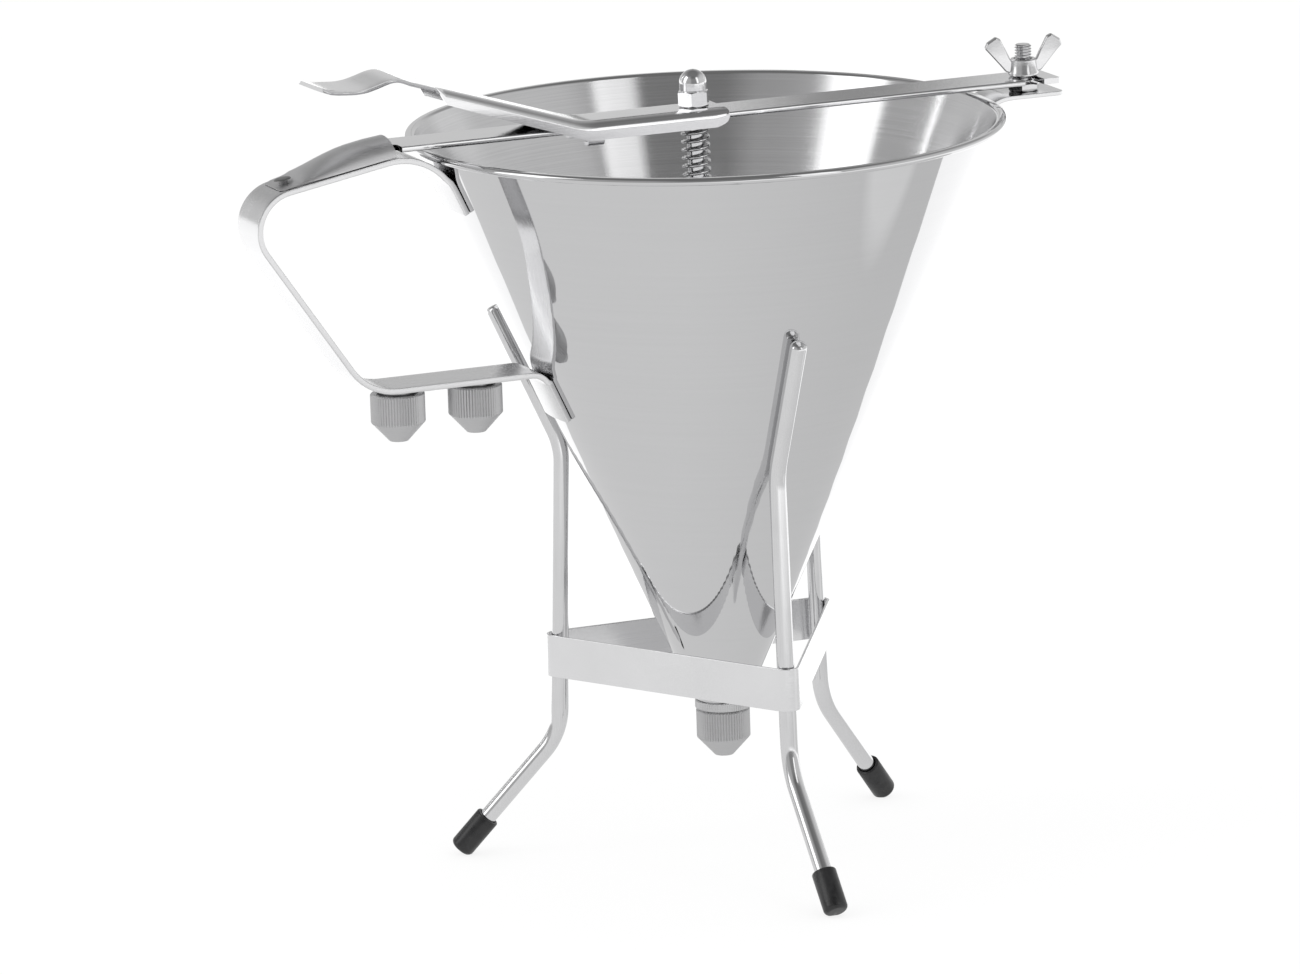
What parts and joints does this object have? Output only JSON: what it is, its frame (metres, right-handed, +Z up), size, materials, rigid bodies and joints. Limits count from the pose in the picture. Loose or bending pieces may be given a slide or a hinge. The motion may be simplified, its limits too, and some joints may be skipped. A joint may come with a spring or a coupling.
{
  "type": "piston funnel",
  "caption": "Steel dispensing funnel on a wire-legged stand, with a strap handle, a thumb lever that lifts a sprung rod and plug off the outlet, and screw-on nozzles.",
  "frame": {"origin": "on the floor, under the middle of the whole object's box", "axes": "+X from the handle to the wing nut, +Z up, +Y away from the front leg; the funnel's axis stands at x = 0.0165 m, y = 0"},
  "size_m": [0.305, 0.208, 0.2909],
  "materials": {
    "cone_steel": "mirror polished outside and on the lip, brushed round the axis inside",
    "spout_steel": "turned, satin",
    "nozzle_steel": "satin grey with a fine straight knurl",
    "strap_steel": "satin",
    "bar_steel": "polished sheet and rod",
    "bright_fasteners": "bright",
    "leg_steel": "polished rod",
    "band_steel": "brushed",
    "black_rubber": "smooth, slightly glossy"
  },
  "bodies": {
    "stand": {"leg_back_right": "leg_steel", "leg_back_left": "leg_steel", "leg_front": "leg_steel", "foot_cap_back_right": "black_rubber", "foot_cap_back_left": "black_rubber", "foot_cap_front": "black_rubber", "stand_band": "band_steel"},
    "funnel": {"funnel_cone": "cone_steel", "outlet_spout": "spout_steel", "handle_strap": "strap_steel", "hood": "strap_steel", "hood_rivet": "strap_steel", "nozzle_stud_1": "strap_steel", "nozzle_stud_2": "strap_steel", "stud_lug": "bar_steel", "clamp_stud": "bright_fasteners", "jam_nut": "bright_fasteners", "crossbar": "bar_steel", "return_spring": "bright_fasteners"},
    "lever": {"lever": "bar_steel"},
    "rod": {"piston_rod": "bar_steel", "valve_plug": "spout_steel", "spring_collar": "bright_fasteners", "dome_nut": "bright_fasteners"},
    "wing_nut": {"wing_nut": "bright_fasteners"},
    "nozzle_fitted": {"nozzle_fitted": "nozzle_steel"},
    "nozzle_stored_1": {"nozzle_stored_1": "nozzle_steel"},
    "nozzle_stored_2": {"nozzle_stored_2": "nozzle_steel"}
  },
  "joints": [
    {"name": "funnel_lift", "type": "slide", "parent": "stand", "child": "funnel", "axis": [0, 0, 1], "range_m": [0, 0.18]},
    {"name": "lever_tilt", "type": "hinge", "parent": "funnel", "child": "lever", "pos_m": [-0.0315, 0, 0.2655], "axis": [0, -1, 0], "range_deg": [0, 13]},
    {"name": "rod_lift", "type": "slide", "parent": "funnel", "child": "rod", "axis": [-0.0188, 0, 0.9998], "range_m": [0, 0.0116], "stiffness_N_per_m": 500, "springref_m": -0.01, "deforming": ["return_spring"]},
    {"name": "wing_nut_turn", "type": "hinge", "parent": "funnel", "child": "wing_nut", "pos_m": [0.13769, 0, 0.2655], "axis": [0, 0, 1], "continuous": true},
    {"name": "nozzle_fitted_turn", "type": "hinge", "parent": "funnel", "child": "nozzle_fitted", "pos_m": [0.0165, 0, 0.045], "axis": [0, 0, 1], "continuous": true},
    {"name": "nozzle_stored_1_turn", "type": "hinge", "parent": "funnel", "child": "nozzle_stored_1", "pos_m": [-0.1007, 0, 0.17], "axis": [0, 0, 1], "continuous": true},
    {"name": "nozzle_stored_2_turn", "type": "hinge", "parent": "funnel", "child": "nozzle_stored_2", "pos_m": [-0.0722, 0, 0.17], "axis": [0, 0, 1], "continuous": true}
  ],
  "couplings": [
    {"joint": "rod_lift", "follows": "lever_tilt", "m_per_rad": 0.0505}
  ]
}
